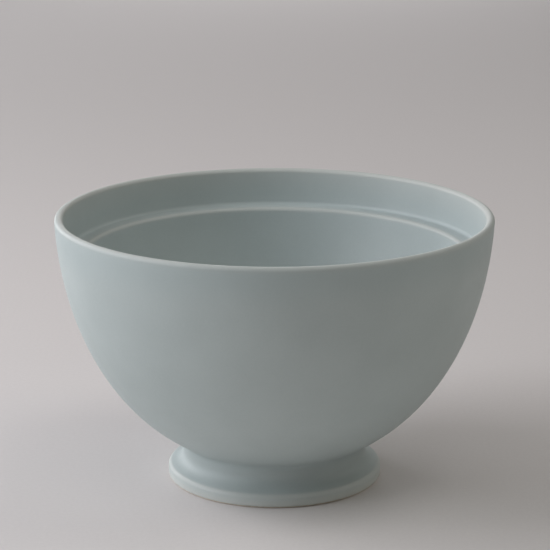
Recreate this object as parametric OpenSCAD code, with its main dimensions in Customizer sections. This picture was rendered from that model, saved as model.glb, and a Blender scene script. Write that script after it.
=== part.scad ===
// Latte bowl: a deep ceramic bowl with an inner ledge, on a hollow flared foot.
// Millimetres, +Z up, origin on the table at the middle of the foot.
// Every wall and the foot are given over the glaze, as they would be measured.

/* [Bowl] */
// Outside diameter at the rim
rim_d = 130; // [118:1:142]
// Height from the table to the top of the lip
bowl_h = 81; // [74:0.5:90]
// Thickness of the wall between the lip and the ledge
rim_wall = 2.5; // [2.2:0.1:3.2]
// Thickness of the bottom
floor_t = 6; // [4.8:0.1:7]
// Height of the underside above the table, in the middle of the foot
base_gap = 5.5; // [5:0.1:6.5]

/* [Ledge] */
// Depth of the ledge below the top of the lip
ledge_drop = 11.5; // [8:0.5:15]
// Distance that the ledge stands in from the wall above it
ledge_w = 4.8; // [3.8:0.1:5.6]
// Size of the rounding on the ledge's edge
ledge_round = 1.2; // [0.9:0.1:1.4]
// Size of the fillet between the ledge and the wall above it
ledge_fillet = 1.3; // [0.9:0.1:1.6]

/* [Wall curve] */
// Slope of the wall where it leaves the foot, in degrees
foot_slope = 26.5; // [22:0.5:32]
// Slope of the wall at the lip, in degrees
lip_slope = 87; // [84:0.5:90]
// Fullness of the curve low down, as a share of its chord
low_share = 0.31; // [0.26:0.01:0.36]
// Fullness of the curve high up, as a share of its chord
high_share = 0.41; // [0.34:0.01:0.46]

/* [Foot] */
// Widest diameter of the foot
foot_d = 64.4; // [61:0.2:68]
// Distance that the flare stands out from the neck
flare_w = 4.7; // [4:0.1:5.6]
// Height of the crease between the bowl and the foot
foot_h = 11.3; // [10.3:0.1:13]
// Thickness of the foot's wall at the neck
foot_wall = 4; // [3.4:0.1:4.6]
// Height of the straight neck, from the crease down to the bend
neck_h = 3.2; // [2:0.1:3.8]
// Height over which the neck bends out into the flare
flare_bend = 2.6; // [2:0.1:3.2]
// Height of the foot's edge
edge_h = 4.4; // [3.8:0.1:4.8]
// Radius of the rounded edge
edge_round = 1.6; // [1.2:0.1:1.9]
// Height to which the hollow is flared, as a share of its height at the wall
hollow_flare_share = 0.7; // [0.5:0.05:0.7]
// Width of the bare ring that the bowl stands on
ring_w = 3.2; // [2.6:0.1:3.8]

/* [Glaze and slip] */
// Thickness of the glaze
glaze_t = 0.4; // [0.3:0.05:0.5]
// Height above the table to which the foot is wiped clean of glaze
wipe_h = 0.5; // [0.4:0.1:0.9]
// Thickness of the bed of slip between the bowl and the foot
slip_t = 0.5; // [0.4:0.1:0.7]
// Height of the fillets that the slip squeezes out into
slip_fillet = 1.6; // [1.2:0.1:1.7]
// Length of the outer fillet along the bowl's wall
wall_fillet = 2.8; // [2:0.1:3.4]

/* [Resolution] */
// Facets round the bowl
turn_facets = 96; // [48:12:180]
// Steps along the wall
wall_steps = 24; // [12:2:40]
// Steps across the rounded bottom
floor_steps = 6; // [4:1:12]
// Steps round the lip
lip_steps = 8; // [6:1:16]
// Steps round a small edge or fillet
edge_steps = 4; // [3:1:8]

/* [Hidden] */

// Colours of the fired clay, the slip and the glaze
clay_colour = "#BBB1A4";
slip_colour = "#CBC3B6";
glaze_colour = "#A8B4B4";

// Halvings of a span when a curve is searched for a height or a radius
search_steps = 32;

// Radii and heights that follow from the sizes above
foot_r = foot_d / 2;
neck_r = foot_r - flare_w;
hollow_r = neck_r - foot_wall;
lip_r = rim_wall / 2;
ledge_z = bowl_h - ledge_drop;
ledge_wall = rim_wall + ledge_w;
ring_out = foot_r - glaze_t - wipe_h;
ring_in = ring_out - ring_w;

// The outside of the wall, one curve from the crease to the lip
crease = [neck_r, foot_h];
lip_low = [rim_d / 2 - lip_r * (1 - sin(lip_slope)), bowl_h - lip_r * (1 + cos(lip_slope))];
chord = norm(lip_low - crease);
wall = [
    crease,
    crease + low_share * chord * heading(foot_slope),
    lip_low - high_share * chord * heading(lip_slope),
    lip_low
];

// The underside inside the foot, which carries that curve on to the middle
base = [
    [0, base_gap],
    [neck_r - (foot_h - base_gap) / tan(foot_slope), base_gap],
    crease
];

// Unit vector at an angle above the horizontal, and one a quarter turn to its left
function heading(a) = [cos(a), sin(a)];
function left(v) = [-v[1], v[0]];
function unit(v) = v / norm(v);

// Place and direction on a curve of three or four control points, t from 0 to 1
function curve(p, t) = len(p) == 1 ? p[0] : curve(inner_points(p, t), t);
function inner_points(p, t) = [for (i = [1:len(p) - 1]) p[i - 1] + t * (p[i] - p[i - 1])];
function curve_dir(p, t) = unit(curve([for (i = [1:len(p) - 1]) p[i] - p[i - 1]], t));

// Place at a depth to the left of a curve, which is inside the wall
function deep(p, t, depth) = curve(p, t) + depth * left(curve_dir(p, t));

// Share of a curve at which its place at that depth reaches a radius (0) or a height (1)
function reach(p, depth, axis, goal, low = 0, high = 1, n = search_steps) =
    let (mid = (low + high) / 2)
    n == 0 ? mid :
    deep(p, mid, depth)[axis] < goal
        ? reach(p, depth, axis, goal, mid, high, n - 1)
        : reach(p, depth, axis, goal, low, mid, n - 1);

// Rounding between two points whose tangents meet at a corner
function rounded(a, corner, b) = [for (i = [0:edge_steps]) curve([a, corner, b], i / edge_steps)];

// Arc of a circle, between two angles
function arc(centre, radius, from, to, steps) = [
    for (i = [0:steps]) centre + radius * heading(from + (to - from) * i / steps)
];

// Next point past the end a of a path, after b: mirrored where the path meets the axis
function beyond(a, b) = a[0] == 0 ? [-b[0], b[1]] : 2 * a - b;

// Path moved to its right by a distance, with its bends kept
function moved_right(p, d) =
    let (last = len(p) - 1)
    let (q = concat([beyond(p[0], p[1])], p, [beyond(p[last], p[last - 1])]))
    [
        for (i = [1:len(p)])
            let (before = left(unit(q[i] - q[i - 1])))
            let (after = left(unit(q[i + 1] - q[i])))
            q[i] - d * (before + after) / (1 + before * after)
    ];

// List without its first few, and a list backwards
function without_first(p, n) = [for (i = [n:len(p) - 1]) p[i]];
function backwards(p) = [for (i = [len(p) - 1:-1:0]) p[i]];

// Inside of the bowl, from the middle of the bottom up to the ledge
ledge_t = reach(wall, ledge_wall, 1, ledge_z - ledge_round);
inside_floor = [for (i = [0:floor_steps - 1]) deep(base, i / floor_steps, floor_t)];
inside_wall = [
    for (i = [0:wall_steps])
        let (t = ledge_t * i / wall_steps)
        deep(wall, t, floor_t + (ledge_wall - floor_t) * i / wall_steps)
];

// Ledge: its rounded edge, its flat and the fillet under the upper wall
upper_t = reach(wall, rim_wall, 1, ledge_z + ledge_fillet);
ledge_in = inside_wall[wall_steps];
ledge_out = deep(wall, upper_t, rim_wall);
inner_corner = level_corner(ledge_in, curve_dir(wall, ledge_t));
outer_corner = level_corner(ledge_out, curve_dir(wall, upper_t));
ledge_edge = rounded(ledge_in, inner_corner, inner_corner + [ledge_round, 0]);
ledge_cove = rounded(outer_corner - [ledge_fillet, 0], outer_corner, ledge_out);

// Point at the ledge's height on a line through a point
function level_corner(p, dir) = p + dir * (ledge_z - p[1]) / dir[1];

// Upper wall, lip and outside, down to where the slip's fillet starts
upper_steps = ceil(wall_steps * (1 - upper_t));
upper_wall = [
    for (i = [1:upper_steps - 1])
        deep(wall, upper_t + (1 - upper_t) * i / upper_steps, rim_wall)
];
lip = arc(deep(wall, 1, lip_r), lip_r, lip_slope + 90, lip_slope - 90, lip_steps);
fillet_t = wall_fillet / norm(wall[1] - wall[0]) / (len(wall) - 1);
outside = [for (i = [1:wall_steps]) curve(wall, 1 + (fillet_t - 1) * i / wall_steps)];
slip_outer = rounded(curve(wall, fillet_t), crease, crease - [0, slip_fillet]);

// Foot's outside: one hollow curve bends from the straight neck out to the round edge
edge_middle = [foot_r - edge_round, edge_h - edge_round];
flare_corner = [neck_r, foot_h - neck_h - flare_bend];
flare_run = edge_middle - flare_corner;
flare_slope = atan2(flare_run[1], flare_run[0]) + asin(edge_round / norm(flare_run));
edge = arc(edge_middle, edge_round, flare_slope + 90, 0, edge_steps);
flare = rounded(flare_corner + [0, flare_bend], flare_corner, edge[0]);

// Hollow of the foot, from its wiped line up to the slip and on to the middle
hollow_t = reach(base, 0, 0, hollow_r);
hollow_corner = curve(base, hollow_t);
hollow_fillet_t = reach(base, 0, 0, hollow_r - slip_fillet);
hollow_top = [hollow_r, hollow_flare_share * hollow_corner[1]];
hollow_turn = [hollow_r, hollow_top[1] / 2];
hollow_wall = rounded([ring_in - wipe_h, wipe_h], hollow_turn, hollow_top);
slip_inner = rounded(hollow_corner - [0, slip_fillet], hollow_corner, curve(base, hollow_fillet_t));
underside = [for (i = [1:floor_steps]) curve(base, hollow_fillet_t * (1 - i / floor_steps))];

// Surface of the glaze above the wiped line, and the clay that lies under it
bowl_skin = concat(inside_floor, inside_wall, without_first(ledge_edge, 1), ledge_cove,
    upper_wall, lip, outside);
foot_skin = concat(flare, without_first(edge, 1), [[foot_r, wipe_h]]);
skin = concat(bowl_skin, without_first(slip_outer, 1), foot_skin);
clay = moved_right(skin, glaze_t);

// Surface of the glaze in the hollow, and the clay that lies over it
hollow_skin = concat(hollow_wall, slip_inner, underside);
hollow_clay = moved_right(hollow_skin, glaze_t);

// Where those paths pass from one piece of clay to the next
bowl_end = len(bowl_skin) - 1;
foot_start = bowl_end + edge_steps;
slip_start = len(hollow_wall);
slip_end = slip_start + edge_steps;

// Seat trimmed on the bowl for the foot, from the crease in to the hollow
seat_radii = [neck_r - glaze_t, neck_r - foot_wall / 2, hollow_r + glaze_t];
seat = concat([deep(base, 1, glaze_t)], [
    for (r = seat_radii) deep(base, reach(base, glaze_t, 0, r), glaze_t)
]);
foot_top = [for (i = [1:len(seat) - 1]) seat[i] - [0, slip_t]];

// Clay side of the bowl, the foot and the slip's two fillets
bowl_clay = [for (i = [0:bowl_end]) clay[i]];
foot_clay = without_first(clay, foot_start);
outer_fillet = [for (i = [bowl_end:foot_start]) clay[i]];
inner_fillet = [for (i = [slip_start:slip_end]) hollow_clay[i]];
bowl_underside = without_first(hollow_clay, slip_end);
foot_hollow = [for (i = [0:slip_start]) hollow_clay[i]];

// Bare ring that the foot stands on, eased where it meets the wiped lines
bare_ring = concat(
    without_first(rounded([foot_r - glaze_t, wipe_h], [foot_r - glaze_t, 0], [ring_out, 0]), 1),
    [[ring_in, 0]]
);

module turned(outline) {
    rotate_extrude($fn = turn_facets)
        polygon(outline);
}

// Fired clay bowl with its ledge and rounded bottom
module bowl_body() {
    color(clay_colour)
        turned(concat(bowl_clay, seat, bowl_underside));
}

// Bed of slip and the two fillets it squeezes out into
module luting_slip() {
    color(slip_colour)
        turned(concat(outer_fillet, foot_top, inner_fillet, backwards(seat)));
}

// Hollow flared foot, made apart and luted on
module pedestal_foot() {
    color(clay_colour)
        turned(concat(foot_clay, bare_ring, foot_hollow, backwards(foot_top)));
}

// Satin glaze over the inside, the lip, the outside and the foot
module glaze_coat() {
    color(glaze_colour)
        turned(concat(skin, backwards(clay)));
}

// Glaze inside the hollow of the foot
module underside_glaze() {
    color(glaze_colour)
        turned(concat(hollow_skin, backwards(hollow_clay)));
}

bowl_body();
luting_slip();
pedestal_foot();
glaze_coat();
underside_glaze();
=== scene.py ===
import math

import bpy
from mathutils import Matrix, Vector


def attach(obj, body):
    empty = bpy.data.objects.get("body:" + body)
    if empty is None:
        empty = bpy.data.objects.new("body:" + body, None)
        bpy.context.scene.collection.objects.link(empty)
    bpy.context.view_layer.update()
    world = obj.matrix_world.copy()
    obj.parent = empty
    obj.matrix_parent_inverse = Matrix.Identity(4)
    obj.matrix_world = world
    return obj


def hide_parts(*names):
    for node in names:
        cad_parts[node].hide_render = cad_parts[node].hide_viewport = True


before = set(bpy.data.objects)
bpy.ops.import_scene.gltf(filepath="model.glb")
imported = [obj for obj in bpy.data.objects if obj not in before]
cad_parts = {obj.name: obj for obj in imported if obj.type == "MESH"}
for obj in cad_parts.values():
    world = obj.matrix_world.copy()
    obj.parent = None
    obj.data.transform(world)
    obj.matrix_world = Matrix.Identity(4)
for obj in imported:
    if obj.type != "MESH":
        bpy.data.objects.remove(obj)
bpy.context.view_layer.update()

# A latte bowl in a pale blue grey satin glaze, on a plain pale table.
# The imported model's five pieces are turned again here on a finer wheel, from the same named sizes.
# The outline is worked out in millimetres as (radius, height), and the meshes are in metres.

MM = 0.001

# Bowl
RIM_D = 130.0
BOWL_H = 81.0
RIM_WALL = 2.5
FLOOR_T = 6.0
BASE_GAP = 5.5

# Ledge under the lip
LEDGE_DROP = 11.5
LEDGE_W = 4.8
LEDGE_ROUND = 1.2
LEDGE_FILLET = 1.3

# Wall curve: slopes in degrees, fullness as a share of its chord
FOOT_SLOPE = 26.5
LIP_SLOPE = 87.0
LOW_SHARE = 0.31
HIGH_SHARE = 0.41

# Foot
FOOT_D = 64.4
FLARE_W = 4.7
FOOT_H = 11.3
FOOT_WALL = 4.0
NECK_H = 3.2
FLARE_BEND = 2.6
EDGE_H = 4.4
EDGE_ROUND = 1.6
HOLLOW_FLARE_SHARE = 0.7
RING_W = 3.2

# Glaze and slip
GLAZE_T = 0.4
WIPE_H = 0.5
SLIP_T = 0.5
SLIP_FILLET = 1.6
WALL_FILLET = 2.8
ROLL_SHARE = 0.6

# Radii, heights and thicknesses that follow from those
LIP_R = RIM_WALL / 2
LEDGE_Z = BOWL_H - LEDGE_DROP
LEDGE_WALL = RIM_WALL + LEDGE_W
FOOT_R = FOOT_D / 2
NECK_R = FOOT_R - FLARE_W
HOLLOW_R = NECK_R - FOOT_WALL
RING_OUT = FOOT_R - GLAZE_T - WIPE_H
RING_IN = RING_OUT - RING_W

# Fineness of the turning
FACETS = 192
WALL_STEPS = 72
FLOOR_STEPS = 20
LIP_STEPS = 16
EDGE_STEPS = 8
SEARCH_STEPS = 32

# Radius of the circle that the outlines are swept round, width of a seam that is closed,
# and the bend in degrees from which an edge is shaded crisp
HUB = 1.0
SEAM = 0.002
SHARP_FROM = 40.0

# A point this near the axis lies on it
ON_AXIS = 1e-6

# Glaze draws thin on an edge and pools in a corner of about this radius, and a bend counts
# as far away as this many half radii
EDGE_RADIUS = 1.2
EDGE_REACH = 4

# Heights where each painted tone starts to change and where it has changed: painted light
# over the foot's edge, painted sheen inside the rim and painted shade outside it
FOOT_PAINTED_BOUNCE = (4.6, 1.4)
RIM_PAINTED_SHEEN = (73.0, 80.0)
RIM_PAINTED_SHADE = (68.5, 75.5)

# Colours of the glaze: its even coat, its crystals, where it lies thick or thin, and its painted
# light and shade
EVEN_COAT = ("#A7B2B2", "#ABB6B6")
CRYSTALS = "#BEC6C6"
# Deeper where the glaze pools in corners, and painted shade outside under the lip
POOLED_COAT_AND_RIM_SHADE = "#96A6A8"
THIN_ON_EDGES = "#C8C0B4"
# Painted light: paler over the foot's edge where the table throws light up, and painted sheen inside
# the rim
PAINTED_BOUNCE_ON_FOOT = "#CDD3D0"
PAINTED_SHEEN_IN_RIM = "#CBCCC6"

# Colours of the fired clay and of the slip: light, dark and specks
BUFF_CLAY = ("#D8D0C4", "#CBC2B5", "#A99F90")
PALE_SLIP = ("#CBC3B6", "#BEB5A7", "#A39A8B")

# Colours of the table's paper: as the eye sees it, and for the light that it throws on the bowl
PAPER_SEEN = ("#CDCAC9", "#D0CDCC")
PAPER_LIT = "#EEEBE9"

# Camera at the photograph's angle: place in metres, tilt down in degrees, lens and sensor in mm
CAMERA_PLACE = (0.00015, -0.6346, 0.2294)
CAMERA_TILT = 14.78
CAMERA_LENS = 144.0
CAMERA_SENSOR = 36.0

# Studio, in metres: the table's radius and the height that the lamps aim at
TABLE_R = 4.0
TABLE_SIDES = 96
AIM_H = 0.04
BACKDROP = "#80807F"

# Where a soft box stands: its distance and its size in metres
FAR = (1.3, 0.60)
NEAR = (0.65, 0.45)

# Soft boxes: name, azimuth and elevation in degrees, stand, watts and colour
# A broad low window on the left, and what the room throws back from its other sides
LAMPS = [
    ("window_behind", -135, 14, FAR, 4.4, "#FFFDFF"),
    ("window_beside", -75, 14, FAR, 4.3, "#F8FAFF"),
    ("window_high", -120, 27, FAR, 1.6, "#FFFCFF"),
    ("window_above", -90, 40, NEAR, 2.1, "#FFFBFF"),
    ("window_in_front", -60, 40, NEAR, 0.6, "#FAFDFF"),
    ("ceiling", 0, 68, FAR, 1.5, "#FFFEFB"),
    ("ceiling_right", 90, 68, FAR, 1.5, "#FFFDFB"),
    ("right_wall", 90, 40, FAR, 2.2, "#FFF7EC"),
    ("front_right", 45, 14, FAR, 0.6, "#FFFAEF"),
    ("front_right_high", 45, 40, FAR, 0.7, "#FFF8ED"),
    ("far_right", 135, 40, FAR, 1.2, "#FFFCFA"),
    ("far_wall", 180, 14, FAR, 1.6, "#FEFDFF"),
]


# Outlines

def point(x, y):
    """A place or a vector in the plane of the outline, as radius and height."""
    return Vector((x, y))


def heading(degrees):
    """Unit vector at an angle above the horizontal."""
    angle = math.radians(degrees)
    return point(math.cos(angle), math.sin(angle))


def left(v):
    """The vector a quarter turn to the left."""
    return point(-v.y, v.x)


def curve(points, t):
    """Place on a curve of three or four control points, t from 0 to 1."""
    while len(points) > 1:
        points = [a.lerp(b, t) for a, b in zip(points, points[1:])]
    return points[0]


def curve_direction(points, t):
    """Unit vector along a curve, t from 0 to 1."""
    return curve([b - a for a, b in zip(points, points[1:])], t).normalized()


def deep(points, t, depth):
    """Place at a depth to the left of a curve, which is inside the wall."""
    return curve(points, t) + depth * left(curve_direction(points, t))


def reach(points, depth, axis, goal):
    """Share of a curve at which its place at that depth reaches a radius (0) or a height (1)."""
    low, high = 0.0, 1.0
    for _ in range(SEARCH_STEPS):
        middle = (low + high) / 2
        if deep(points, middle, depth)[axis] < goal:
            low = middle
        else:
            high = middle
    return (low + high) / 2


def rounded(a, corner, b):
    """Rounding between two points whose tangents meet at a corner."""
    return [curve([a, corner, b], i / EDGE_STEPS) for i in range(EDGE_STEPS + 1)]


def arc(centre, radius, start, end, steps):
    """Arc of a circle, between two angles in degrees."""
    angles = [start + (end - start) * i / steps for i in range(steps + 1)]
    return [centre + radius * heading(a) for a in angles]


def beyond(a, b):
    """Next point past the end a of a path, after b: mirrored where the path meets the axis."""
    return point(-b.x, b.y) if a.x == 0 else 2 * a - b


def moved_right(path, distance):
    """The path moved to its right, with its bends kept."""
    full = [beyond(path[0], path[1]), *path, beyond(path[-1], path[-2])]
    moved = []
    for a, b, c in zip(full, full[1:], full[2:]):
        before = left((b - a).normalized())
        after = left((c - b).normalized())
        moved.append(b - distance * (before + after) / (1 + before.dot(after)))
    return moved


def level_corner(p, direction, height):
    """Point at a height on a line through a point."""
    return p + direction * (height - p.y) / direction.y


def wall_curve():
    """Outside of the wall as one curve, from the crease over the foot up to the lip."""
    lean = math.radians(LIP_SLOPE)
    crease = point(NECK_R, FOOT_H)
    lip_low = point(
        RIM_D / 2 - LIP_R * (1 - math.sin(lean)), BOWL_H - LIP_R * (1 + math.cos(lean))
    )
    chord = (lip_low - crease).length
    return [
        crease,
        crease + LOW_SHARE * chord * heading(FOOT_SLOPE),
        lip_low - HIGH_SHARE * chord * heading(LIP_SLOPE),
        lip_low,
    ]


def base_curve():
    """Underside of the bowl inside the foot, which carries the wall's curve on to the middle."""
    rise_run = (FOOT_H - BASE_GAP) / math.tan(math.radians(FOOT_SLOPE))
    return [point(0, BASE_GAP), point(NECK_R - rise_run, BASE_GAP), point(NECK_R, FOOT_H)]


def inside_skin(wall, base):
    """Surface of the glaze inside the bowl, from the middle of the bottom up to the lip."""
    ledge_t = reach(wall, LEDGE_WALL, 1, LEDGE_Z - LEDGE_ROUND)
    upper_t = reach(wall, RIM_WALL, 1, LEDGE_Z + LEDGE_FILLET)

    # Bottom, and the wall up to the ledge, whose thickness changes evenly on the way
    bottom = [deep(base, i / FLOOR_STEPS, FLOOR_T) for i in range(FLOOR_STEPS)]
    lower_wall = []
    for i in range(WALL_STEPS + 1):
        share = i / WALL_STEPS
        lower_wall.append(deep(wall, ledge_t * share, FLOOR_T + (LEDGE_WALL - FLOOR_T) * share))

    # Ledge: its rounded edge, its flat and the fillet under the upper wall
    ledge_in = lower_wall[-1]
    ledge_out = deep(wall, upper_t, RIM_WALL)
    inner_corner = level_corner(ledge_in, curve_direction(wall, ledge_t), LEDGE_Z)
    outer_corner = level_corner(ledge_out, curve_direction(wall, upper_t), LEDGE_Z)
    edge = rounded(ledge_in, inner_corner, inner_corner + point(LEDGE_ROUND, 0))
    cove = rounded(outer_corner - point(LEDGE_FILLET, 0), outer_corner, ledge_out)

    # Upper wall, of one thickness
    upper_steps = math.ceil(WALL_STEPS * (1 - upper_t))
    upper_wall = [
        deep(wall, upper_t + (1 - upper_t) * i / upper_steps, RIM_WALL)
        for i in range(1, upper_steps)
    ]
    return bottom + lower_wall + edge[1:] + cove + upper_wall


def outside_skin(wall, fillet_t):
    """Surface of the glaze over the lip and down the outside, to where the slip's fillet starts."""
    lip = arc(deep(wall, 1, LIP_R), LIP_R, LIP_SLOPE + 90, LIP_SLOPE - 90, LIP_STEPS)
    down = [curve(wall, 1 + (fillet_t - 1) * i / WALL_STEPS) for i in range(1, WALL_STEPS + 1)]
    return lip + down


def foot_skin(wall, fillet_t):
    """Surface of the glaze over the slip and down the foot, to the wiped line."""
    crease = wall[0]
    slip = rounded(curve(wall, fillet_t), crease, crease - point(0, SLIP_FILLET))

    # One hollow curve bends from the straight neck out to the round edge
    edge_middle = point(FOOT_R - EDGE_ROUND, EDGE_H - EDGE_ROUND)
    flare_corner = point(NECK_R, FOOT_H - NECK_H - FLARE_BEND)
    to_edge = edge_middle - flare_corner
    slope = math.degrees(math.atan2(to_edge.y, to_edge.x) + math.asin(EDGE_ROUND / to_edge.length))
    edge = arc(edge_middle, EDGE_ROUND, slope + 90, 0, EDGE_STEPS)
    flare = rounded(flare_corner + point(0, FLARE_BEND), flare_corner, edge[0])
    return slip[1:] + flare + edge[1:] + [point(FOOT_R, WIPE_H)]


def hollow_skin(base):
    """Surface of the glaze in the foot's hollow, from its wiped line up and on to the middle."""
    corner = curve(base, reach(base, 0, 0, HOLLOW_R))
    fillet_t = reach(base, 0, 0, HOLLOW_R - SLIP_FILLET)
    top = point(HOLLOW_R, HOLLOW_FLARE_SHARE * corner.y)
    turn = point(HOLLOW_R, top.y / 2)
    wall = rounded(point(RING_IN - WIPE_H, WIPE_H), turn, top)
    slip = rounded(corner - point(0, SLIP_FILLET), corner, curve(base, fillet_t))
    under = [curve(base, fillet_t * (1 - i / FLOOR_STEPS)) for i in range(1, FLOOR_STEPS + 1)]
    return wall + slip + under


def foot_seat(base):
    """Seat trimmed on the bowl for the foot, from the crease in to the hollow."""
    seat = [deep(base, 1, GLAZE_T)]
    for r in (NECK_R - GLAZE_T, NECK_R - FOOT_WALL / 2, HOLLOW_R + GLAZE_T):
        seat.append(deep(base, reach(base, GLAZE_T, 0, r), GLAZE_T))
    return seat


def bare_ring():
    """Bare ring that the foot stands on, eased where it meets the wiped lines."""
    corner = point(FOOT_R - GLAZE_T, 0)
    ring = rounded(corner + point(0, WIPE_H), corner, point(RING_OUT, 0))
    return ring[1:] + [point(RING_IN, 0)]


def bowl_outlines():
    """Outline of each piece of the bowl."""
    wall = wall_curve()
    base = base_curve()
    fillet_t = WALL_FILLET / (wall[1] - wall[0]).length / (len(wall) - 1)

    # Surface of the glaze above the wiped line, and the clay that lies under it
    bowl_skin = inside_skin(wall, base) + outside_skin(wall, fillet_t)
    skin = bowl_skin + foot_skin(wall, fillet_t)
    clay = moved_right(skin, GLAZE_T)

    # Surface of the glaze in the hollow, and the clay that lies over it
    hollow = hollow_skin(base)
    hollow_clay = moved_right(hollow, GLAZE_T)

    # Where those paths pass from one piece of clay to the next
    bowl_end = len(bowl_skin) - 1
    foot_start = bowl_end + EDGE_STEPS
    slip_start = EDGE_STEPS + 1
    slip_end = slip_start + EDGE_STEPS

    # The slip's bed lies between the bowl's seat and the top of the foot
    seat = foot_seat(base)
    foot_top = [p - point(0, SLIP_T) for p in seat[1:]]

    # Both glazes end in a small roll, as a wiped edge does once it has melted
    roll = rounded(skin[-1] + point(0, GLAZE_T), skin[-1], clay[-1])
    hollow_roll = [hollow_clay[0].lerp(hollow[0], ROLL_SHARE)]
    return {
        "bowl_body": clay[: bowl_end + 1] + seat + hollow_clay[slip_end:],
        "pedestal_foot": clay[foot_start:] + bare_ring() + hollow_clay[: slip_start + 1]
        + foot_top[::-1],
        "luting_slip": clay[bowl_end : foot_start + 1] + foot_top
        + hollow_clay[slip_start : slip_end + 1] + seat[::-1],
        "glaze_coat": skin[:-1] + roll + clay[-2::-1],
        "underside_glaze": hollow_clay[::-1] + hollow_roll + hollow[1:],
    }


def edge_of_glaze(outline):
    """How far each place on an outline is an edge (up to 1) or a corner (down to -1)."""
    places = [0.0]
    for a, b in zip(outline, outline[1:]):
        places.append(places[-1] + (b - a).length)
    turns = []
    for a, b, c in zip(outline, outline[1:], outline[2:]):
        before, after = b - a, c - b
        turns.append(math.atan2(before.y * after.x - before.x * after.y, before.dot(after)))
    result = []
    for here in places:
        bend = 0.0
        for place, turn in zip(places[1:-1], turns):
            away = (place - here) / (EDGE_RADIUS / 2)
            if abs(away) < EDGE_REACH:
                bend += turn * math.exp(-away * away / 2)
        bend /= EDGE_RADIUS / 2 * math.sqrt(2 * math.pi)
        result.append(max(-1.0, min(1.0, bend * EDGE_RADIUS)))
    return result


def share_between(value, low, high):
    """0 at the low value or before it, 1 at the high value or past it."""
    return max(0.0, min(1.0, (value - low) / (high - low)))


def rim_sheen_and_shade(outline):
    """How much painted sheen (up to 1, inside the rim) or painted shade (down to -1, outside) the
    coat gets.
    """
    result = []
    for p in outline:
        across = share_between(p.x, RIM_D / 2 - RIM_WALL, RIM_D / 2)
        # Painted sheen high inside the rim, painted shade high outside it
        painted_sheen = (1 - across) * share_between(p.y, *RIM_PAINTED_SHEEN)
        painted_shade = across * share_between(p.y, *RIM_PAINTED_SHADE)
        result.append(painted_sheen - painted_shade)
    return result


# Nodes

def linear(text):
    """Linear RGBA of an sRGB hex colour."""
    parts = [int(text[i : i + 2], 16) / 255 for i in (1, 3, 5)]
    return (*[c / 12.92 if c <= 0.04045 else ((c + 0.055) / 1.055) ** 2.4 for c in parts], 1.0)


def per(size_mm):
    """Scale of a texture whose pattern repeats about once in a size in millimetres."""
    return 1 / (size_mm * MM)


def add(tree, kind, inputs=None, **settings):
    """Adds a node; an input takes a value, or the output socket that feeds it."""
    made = tree.nodes.new(kind)
    for name, value in settings.items():
        setattr(made, name, value)
    for name, value in (inputs or {}).items():
        if isinstance(value, bpy.types.NodeSocket):
            tree.links.new(value, made.inputs[name])
        else:
            made.inputs[name].default_value = value
    return made


# Turning

def turning_tree():
    """Turns an outline about the upright axis, as a potter's wheel does."""
    tree = bpy.data.node_groups.new("turned_on_the_wheel", "GeometryNodeTree")
    for name, kind in (
        ("Outline", "Geometry"), ("Facets", "Int"), ("Hub", "Float"), ("Seam", "Float"),
        ("Sharp from", "Float"), ("Finish", "Material"),
    ):
        tree.interface.new_socket(name, in_out="INPUT", socket_type="NodeSocket" + kind)
    tree.interface.new_socket("Piece", in_out="OUTPUT", socket_type="NodeSocketGeometry")
    given = add(tree, "NodeGroupInput").outputs

    # The outline lies in the XY plane, and its zero radius is brought onto the hub's circle
    line = add(tree, "GeometryNodeMeshToCurve", {"Mesh": given["Outline"]})
    inward = add(tree, "ShaderNodeMath", {0: given["Hub"], 1: -1.0}, operation="MULTIPLY")
    shift = add(tree, "ShaderNodeCombineXYZ", {"X": inward.outputs[0]})
    placed = add(
        tree, "GeometryNodeSetPosition", {"Geometry": line.outputs[0], "Offset": shift.outputs[0]}
    )
    hub = add(
        tree, "GeometryNodeCurvePrimitiveCircle",
        {"Resolution": given["Facets"], "Radius": given["Hub"]}, mode="RADIUS",
    )
    upright = add(tree, "GeometryNodeSetCurveNormal", {"Curve": hub.outputs[0]}, mode="Z_UP")
    swept = add(
        tree, "GeometryNodeCurveToMesh",
        {"Curve": upright.outputs[0], "Profile Curve": placed.outputs[0]},
    )
    closed = add(
        tree, "GeometryNodeMergeByDistance",
        {"Geometry": swept.outputs[0], "Distance": given["Seam"]},
    )

    # Soft bends are shaded smooth, and true corners stay crisp
    bend = add(tree, "GeometryNodeInputMeshEdgeAngle")
    soft = add(
        tree, "FunctionNodeCompare", {0: bend.outputs["Unsigned Angle"], 1: given["Sharp from"]},
        data_type="FLOAT", operation="LESS_THAN",
    )
    faces = add(tree, "GeometryNodeSetShadeSmooth", {"Geometry": closed.outputs[0]}, domain="FACE")
    edges = add(
        tree, "GeometryNodeSetShadeSmooth",
        {"Geometry": faces.outputs[0], "Shade Smooth": soft.outputs[0]}, domain="EDGE",
    )
    real = add(tree, "GeometryNodeRealizeInstances", {"Geometry": edges.outputs[0]})
    done = add(
        tree, "GeometryNodeSetMaterial",
        {"Geometry": real.outputs[0], "Material": given["Finish"]},
    )
    add(tree, "NodeGroupOutput", {"Piece": done.outputs[0]})
    return tree


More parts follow.
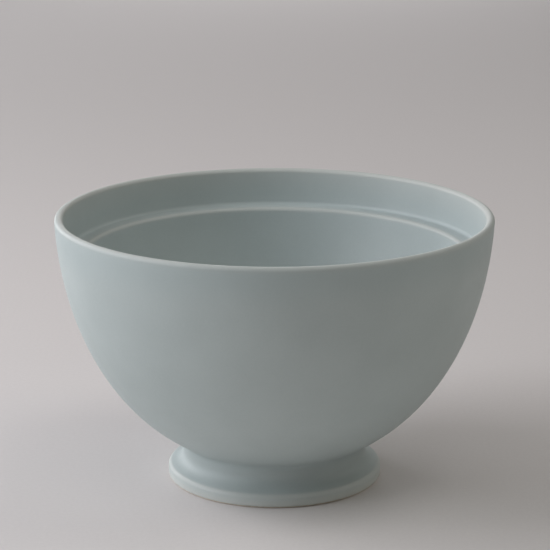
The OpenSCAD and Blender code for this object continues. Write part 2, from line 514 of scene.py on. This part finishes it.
def turned(name, outline, tree, finish):
    """One plain mesh object, turned from an outline in millimetres."""
    closed_at_axis = max(outline[0].x, outline[-1].x) < ON_AXIS
    count = len(outline)
    edges = [(i, i + 1) for i in range(count - 1)]
    if not closed_at_axis:
        edges.append((count - 1, 0))
    flat = bpy.data.meshes.new(name + "_outline")
    flat.from_pydata([(max(p.x, 0.0) * MM, -p.y * MM, 0.0) for p in outline], edges, [])
    bend = flat.attributes.new("edge_of_glaze", "FLOAT", "POINT")
    bend.data.foreach_set("value", edge_of_glaze(outline))
    # Mask of the rim's painted sheen and painted shade
    rim_light_mark = flat.attributes.new("rim_sheen_and_shade", "FLOAT", "POINT")
    rim_light_mark.data.foreach_set("value", rim_sheen_and_shade(outline))
    piece = bpy.data.objects.new(name, flat)
    bpy.context.scene.collection.objects.link(piece)

    wheel = piece.modifiers.new("wheel", "NODES")
    wheel.node_group = tree
    values = {
        "Facets": FACETS, "Hub": HUB * MM, "Seam": SEAM * MM,
        "Sharp from": math.radians(SHARP_FROM), "Finish": finish,
    }
    for item in tree.interface.items_tree:
        if item.in_out == "INPUT" and item.name in values:
            wheel[item.identifier] = values[item.name]

    evaluated = piece.evaluated_get(bpy.context.evaluated_depsgraph_get())
    mesh = bpy.data.meshes.new_from_object(evaluated)
    mesh.name = name
    piece.modifiers.remove(wheel)
    piece.data = mesh
    bpy.data.meshes.remove(flat)
    return piece


# Materials, with each pattern's scale worked out from a size in millimetres

def new_material(name):
    """A material with one Principled shader, and the place on the piece in metres."""
    material = bpy.data.materials.new(name)
    material.use_nodes = True
    tree = material.node_tree
    tree.nodes.clear()
    shader = add(tree, "ShaderNodeBsdfPrincipled")
    add(tree, "ShaderNodeOutputMaterial", {"Surface": shader.outputs["BSDF"]})
    place = add(tree, "ShaderNodeTexCoord").outputs["Object"]
    return material, tree, shader, place


def satin_glaze():
    """Blue grey satin stoneware glaze, poured on and fired until fine crystals dull its gloss."""
    material, tree, shader, place = new_material("satin_blue_grey_glaze")

    # Even to the eye, with soft clouds where the coat lay a little thicker
    clouds = add(tree, "ShaderNodeTexNoise", {"Vector": place, "Scale": per(16), "Detail": 3.0})
    cloudy = add(
        tree, "ShaderNodeMapRange",
        {"Value": clouds.outputs["Fac"], "From Min": 0.3, "From Max": 0.7},
    )
    body = add(
        tree, "ShaderNodeMix",
        {0: cloudy.outputs["Result"], 6: linear(EVEN_COAT[0]), 7: linear(EVEN_COAT[1])},
        data_type="RGBA",
    )

    # Crystals too fine to tell apart, drawn about three times as coarse, leave a faint pale grain
    crystals = add(tree, "ShaderNodeTexNoise", {"Vector": place, "Scale": per(0.6)})
    grain = add(
        tree, "ShaderNodeMapRange",
        {"Value": crystals.outputs["Fac"], "From Min": 0.35, "From Max": 0.7, "To Max": 0.1},
    )
    body = add(
        tree, "ShaderNodeMix",
        {0: grain.outputs["Result"], 6: body.outputs[2], 7: linear(CRYSTALS)},
        data_type="RGBA",
    )

    # A thick place is deeper in colour and a thin one paler, and some tones are painted light and
    # shade. Each tone has what it follows, where it starts and where it is full, how much it then
    # shows, and its colour
    bend = add(tree, "ShaderNodeAttribute", attribute_name="edge_of_glaze").outputs["Fac"]
    rim = add(tree, "ShaderNodeAttribute", attribute_name="rim_sheen_and_shade").outputs["Fac"]
    height = add(tree, "ShaderNodeSeparateXYZ", {"Vector": place}).outputs["Z"]
    # Heights of the painted light over the foot's edge, in metres
    foot_start, foot_full = [z * MM for z in FOOT_PAINTED_BOUNCE]
    tones = [
        # Pooled in corners, and drawn thin over edges
        (bend, -0.15, -0.8, 0.2, POOLED_COAT_AND_RIM_SHADE),
        (bend, 0.2, 0.95, 0.25, THIN_ON_EDGES),
        # Paler over the foot's edge band, down to the wiped line: painted light from the table
        (height, foot_start, foot_full, 0.3, PAINTED_BOUNCE_ON_FOOT),
        # Painted sheen inside the rim, and painted shade outside it under the lip
        (rim, 0.0, 1.0, 0.25, PAINTED_SHEEN_IN_RIM),
        (rim, 0.0, -1.0, 0.3, POOLED_COAT_AND_RIM_SHADE),
    ]
    for measure, start, full, most, colour in tones:
        shows = add(
            tree, "ShaderNodeMapRange",
            {"Value": measure, "From Min": start, "From Max": full, "To Max": most},
        )
        body = add(
            tree, "ShaderNodeMix",
            {0: shows.outputs["Result"], 6: body.outputs[2], 7: linear(colour)},
            data_type="RGBA",
        )

    # Its gloss is dull and varies a little, and its skin is slack and finely pitted from the fire
    dullness = add(tree, "ShaderNodeTexNoise", {"Vector": place, "Scale": per(7)})
    roughness = add(
        tree, "ShaderNodeMapRange",
        {
            "Value": dullness.outputs["Fac"], "From Min": 0.3, "From Max": 0.7,
            "To Min": 0.49, "To Max": 0.55,
        },
    )
    swell = add(tree, "ShaderNodeTexNoise", {"Vector": place, "Scale": per(9), "Detail": 1.0})
    slack = add(
        tree, "ShaderNodeBump", {"Height": swell.outputs["Fac"], "Distance": 0.02 * MM}
    )
    pits = add(tree, "ShaderNodeTexNoise", {"Vector": place, "Scale": per(0.9)})
    skin = add(
        tree, "ShaderNodeBump",
        {"Height": pits.outputs["Fac"], "Distance": 0.004 * MM, "Normal": slack.outputs["Normal"]},
    )
    tree.links.new(body.outputs[2], shader.inputs["Base Color"])
    tree.links.new(roughness.outputs["Result"], shader.inputs["Roughness"])
    tree.links.new(skin.outputs["Normal"], shader.inputs["Normal"])
    shader.inputs["IOR"].default_value = 1.5
    return material


def bare_clay(name, light, dark, speck):
    """Fired clay with no glaze on it: matt, a little gritty, with specks of grog."""
    material, tree, shader, place = new_material(name)
    mottle = add(
        tree, "ShaderNodeTexNoise",
        {"Vector": place, "Scale": per(2.5), "Detail": 4.0, "Roughness": 0.6},
    )
    mottled = add(
        tree, "ShaderNodeMapRange",
        {"Value": mottle.outputs["Fac"], "From Min": 0.3, "From Max": 0.7},
    )
    body = add(
        tree, "ShaderNodeMix",
        {0: mottled.outputs["Result"], 6: linear(dark), 7: linear(light)},
        data_type="RGBA",
    )
    grog = add(tree, "ShaderNodeTexNoise", {"Vector": place, "Scale": per(0.7)})
    specks = add(
        tree, "ShaderNodeMapRange",
        {"Value": grog.outputs["Fac"], "From Min": 0.62, "From Max": 0.7, "To Max": 0.6},
    )
    body = add(
        tree, "ShaderNodeMix",
        {0: specks.outputs["Result"], 6: body.outputs[2], 7: linear(speck)},
        data_type="RGBA",
    )
    grit = add(
        tree, "ShaderNodeTexNoise",
        {"Vector": place, "Scale": per(0.5), "Detail": 4.0, "Roughness": 0.7},
    )
    rough_skin = add(tree, "ShaderNodeBump", {"Height": grit.outputs["Fac"], "Distance": 0.05 * MM})
    tree.links.new(body.outputs[2], shader.inputs["Base Color"])
    tree.links.new(rough_skin.outputs["Normal"], shader.inputs["Normal"])
    shader.inputs["Roughness"].default_value = 0.85
    shader.inputs["IOR"].default_value = 1.5
    return material


def seen_or_mirrored(tree):
    """1 where the eye sees a surface, in a gloss or through glass too, and 0 for soft light."""
    ray = add(tree, "ShaderNodeLightPath").outputs
    direct = add(
        tree, "ShaderNodeMath",
        {0: ray["Is Camera Ray"], 1: ray["Is Transmission Ray"]}, operation="MAXIMUM",
    )
    both = add(
        tree, "ShaderNodeMath", {0: direct.outputs[0], 1: ray["Is Glossy Ray"]}, operation="MAXIMUM"
    )
    return both.outputs[0]


def table_paper():
    """Matt pale paper laid on the table: no gloss, a barely visible tooth."""
    material, tree, shader, place = new_material("matt_table_paper")
    fibres = add(tree, "ShaderNodeTexNoise", {"Vector": place, "Scale": per(1.2), "Detail": 3.0})
    tooth = add(
        tree, "ShaderNodeMapRange",
        {"Value": fibres.outputs["Fac"], "From Min": 0.3, "From Max": 0.7},
    )
    body = add(
        tree, "ShaderNodeMix",
        {0: tooth.outputs["Result"], 6: linear(PAPER_SEEN[0]), 7: linear(PAPER_SEEN[1])},
        data_type="RGBA",
    )

    # It throws more light up at the bowl than the eye sees on it
    seen = add(
        tree, "ShaderNodeMix",
        {0: seen_or_mirrored(tree), 6: linear(PAPER_LIT), 7: body.outputs[2]},
        data_type="RGBA",
    )
    tree.links.new(seen.outputs[2], shader.inputs["Base Color"])
    shader.inputs["Roughness"].default_value = 0.9
    shader.inputs["Specular IOR Level"].default_value = 0.2
    return material


# Studio

def table_top(finish):
    """Round table top, far wider than the view."""
    rim = [2 * math.pi * i / TABLE_SIDES for i in range(TABLE_SIDES)]
    mesh = bpy.data.meshes.new("table_top")
    corners = [(TABLE_R * math.cos(a), TABLE_R * math.sin(a), 0.0) for a in rim]
    mesh.from_pydata(corners, [], [list(range(TABLE_SIDES))])
    mesh.materials.append(finish)
    table = bpy.data.objects.new("table_top", mesh)
    bpy.context.scene.collection.objects.link(table)
    return table


def soft_lamp(name, azimuth, elevation, stand, watts, colour):
    """A square soft box that faces the bowl; azimuth 0 is the camera's side, 90 is the right."""
    distance, size = stand
    turn = math.radians(azimuth)
    rise = math.radians(elevation)
    away = Vector((
        math.sin(turn) * math.cos(rise), -math.cos(turn) * math.cos(rise), math.sin(rise)
    ))
    light = bpy.data.lights.new(name, "AREA")
    light.shape = "SQUARE"
    light.size = size
    light.energy = watts
    light.color = linear(colour)[:3]
    lamp = bpy.data.objects.new(name, light)
    lamp.location = distance * away + Vector((0, 0, AIM_H))
    lamp.rotation_euler = away.to_track_quat("Z", "Y").to_euler()
    bpy.context.scene.collection.objects.link(lamp)


def room():
    """A plain backdrop for the eye and for a gloss. It gives no soft light: the lamps do."""
    world = bpy.data.worlds.new("room")
    bpy.context.scene.world = world
    world.use_nodes = True
    tree = world.node_tree
    tree.nodes.clear()
    backdrop = add(
        tree, "ShaderNodeBackground",
        {"Color": linear(BACKDROP), "Strength": seen_or_mirrored(tree)},
    )
    add(tree, "ShaderNodeOutputWorld", {"Surface": backdrop.outputs[0]})


def photo_camera():
    """Camera at the photograph's angle, for a square frame."""
    data = bpy.data.cameras.new("camera")
    data.sensor_fit = "HORIZONTAL"
    data.sensor_width = CAMERA_SENSOR
    data.lens = CAMERA_LENS
    camera = bpy.data.objects.new("camera", data)
    camera.location = CAMERA_PLACE
    camera.rotation_euler = (math.radians(90.0 - CAMERA_TILT), 0.0, 0.0)
    bpy.context.scene.collection.objects.link(camera)
    bpy.context.scene.camera = camera


# The bowl and its surroundings

def build_bowl():
    """The five pieces of the bowl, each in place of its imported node."""
    glaze = satin_glaze()
    stoneware = bare_clay("fired_buff_stoneware", *BUFF_CLAY)
    slip = bare_clay("fired_pale_slip", *PALE_SLIP)
    finishes = {
        "bowl_body": ("fired_clay", stoneware),
        "pedestal_foot": ("fired_clay", stoneware),
        "luting_slip": ("fired_slip", slip),
        "glaze_coat": ("satin_glaze", glaze),
        "underside_glaze": ("satin_glaze", glaze),
    }
    tree = turning_tree()
    outlines = bowl_outlines()
    for node, (slot, finish) in finishes.items():
        piece = turned("turned_" + node, outlines[node], tree, finish)
        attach(piece, "root")
        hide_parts(node)


def build_studio():
    """Table, lamps, room and camera."""
    table = table_top(table_paper())
    for lamp in LAMPS:
        soft_lamp(*lamp)
    room()
    photo_camera()
    bpy.context.scene.view_settings.view_transform = "Standard"


build_bowl()
build_studio()
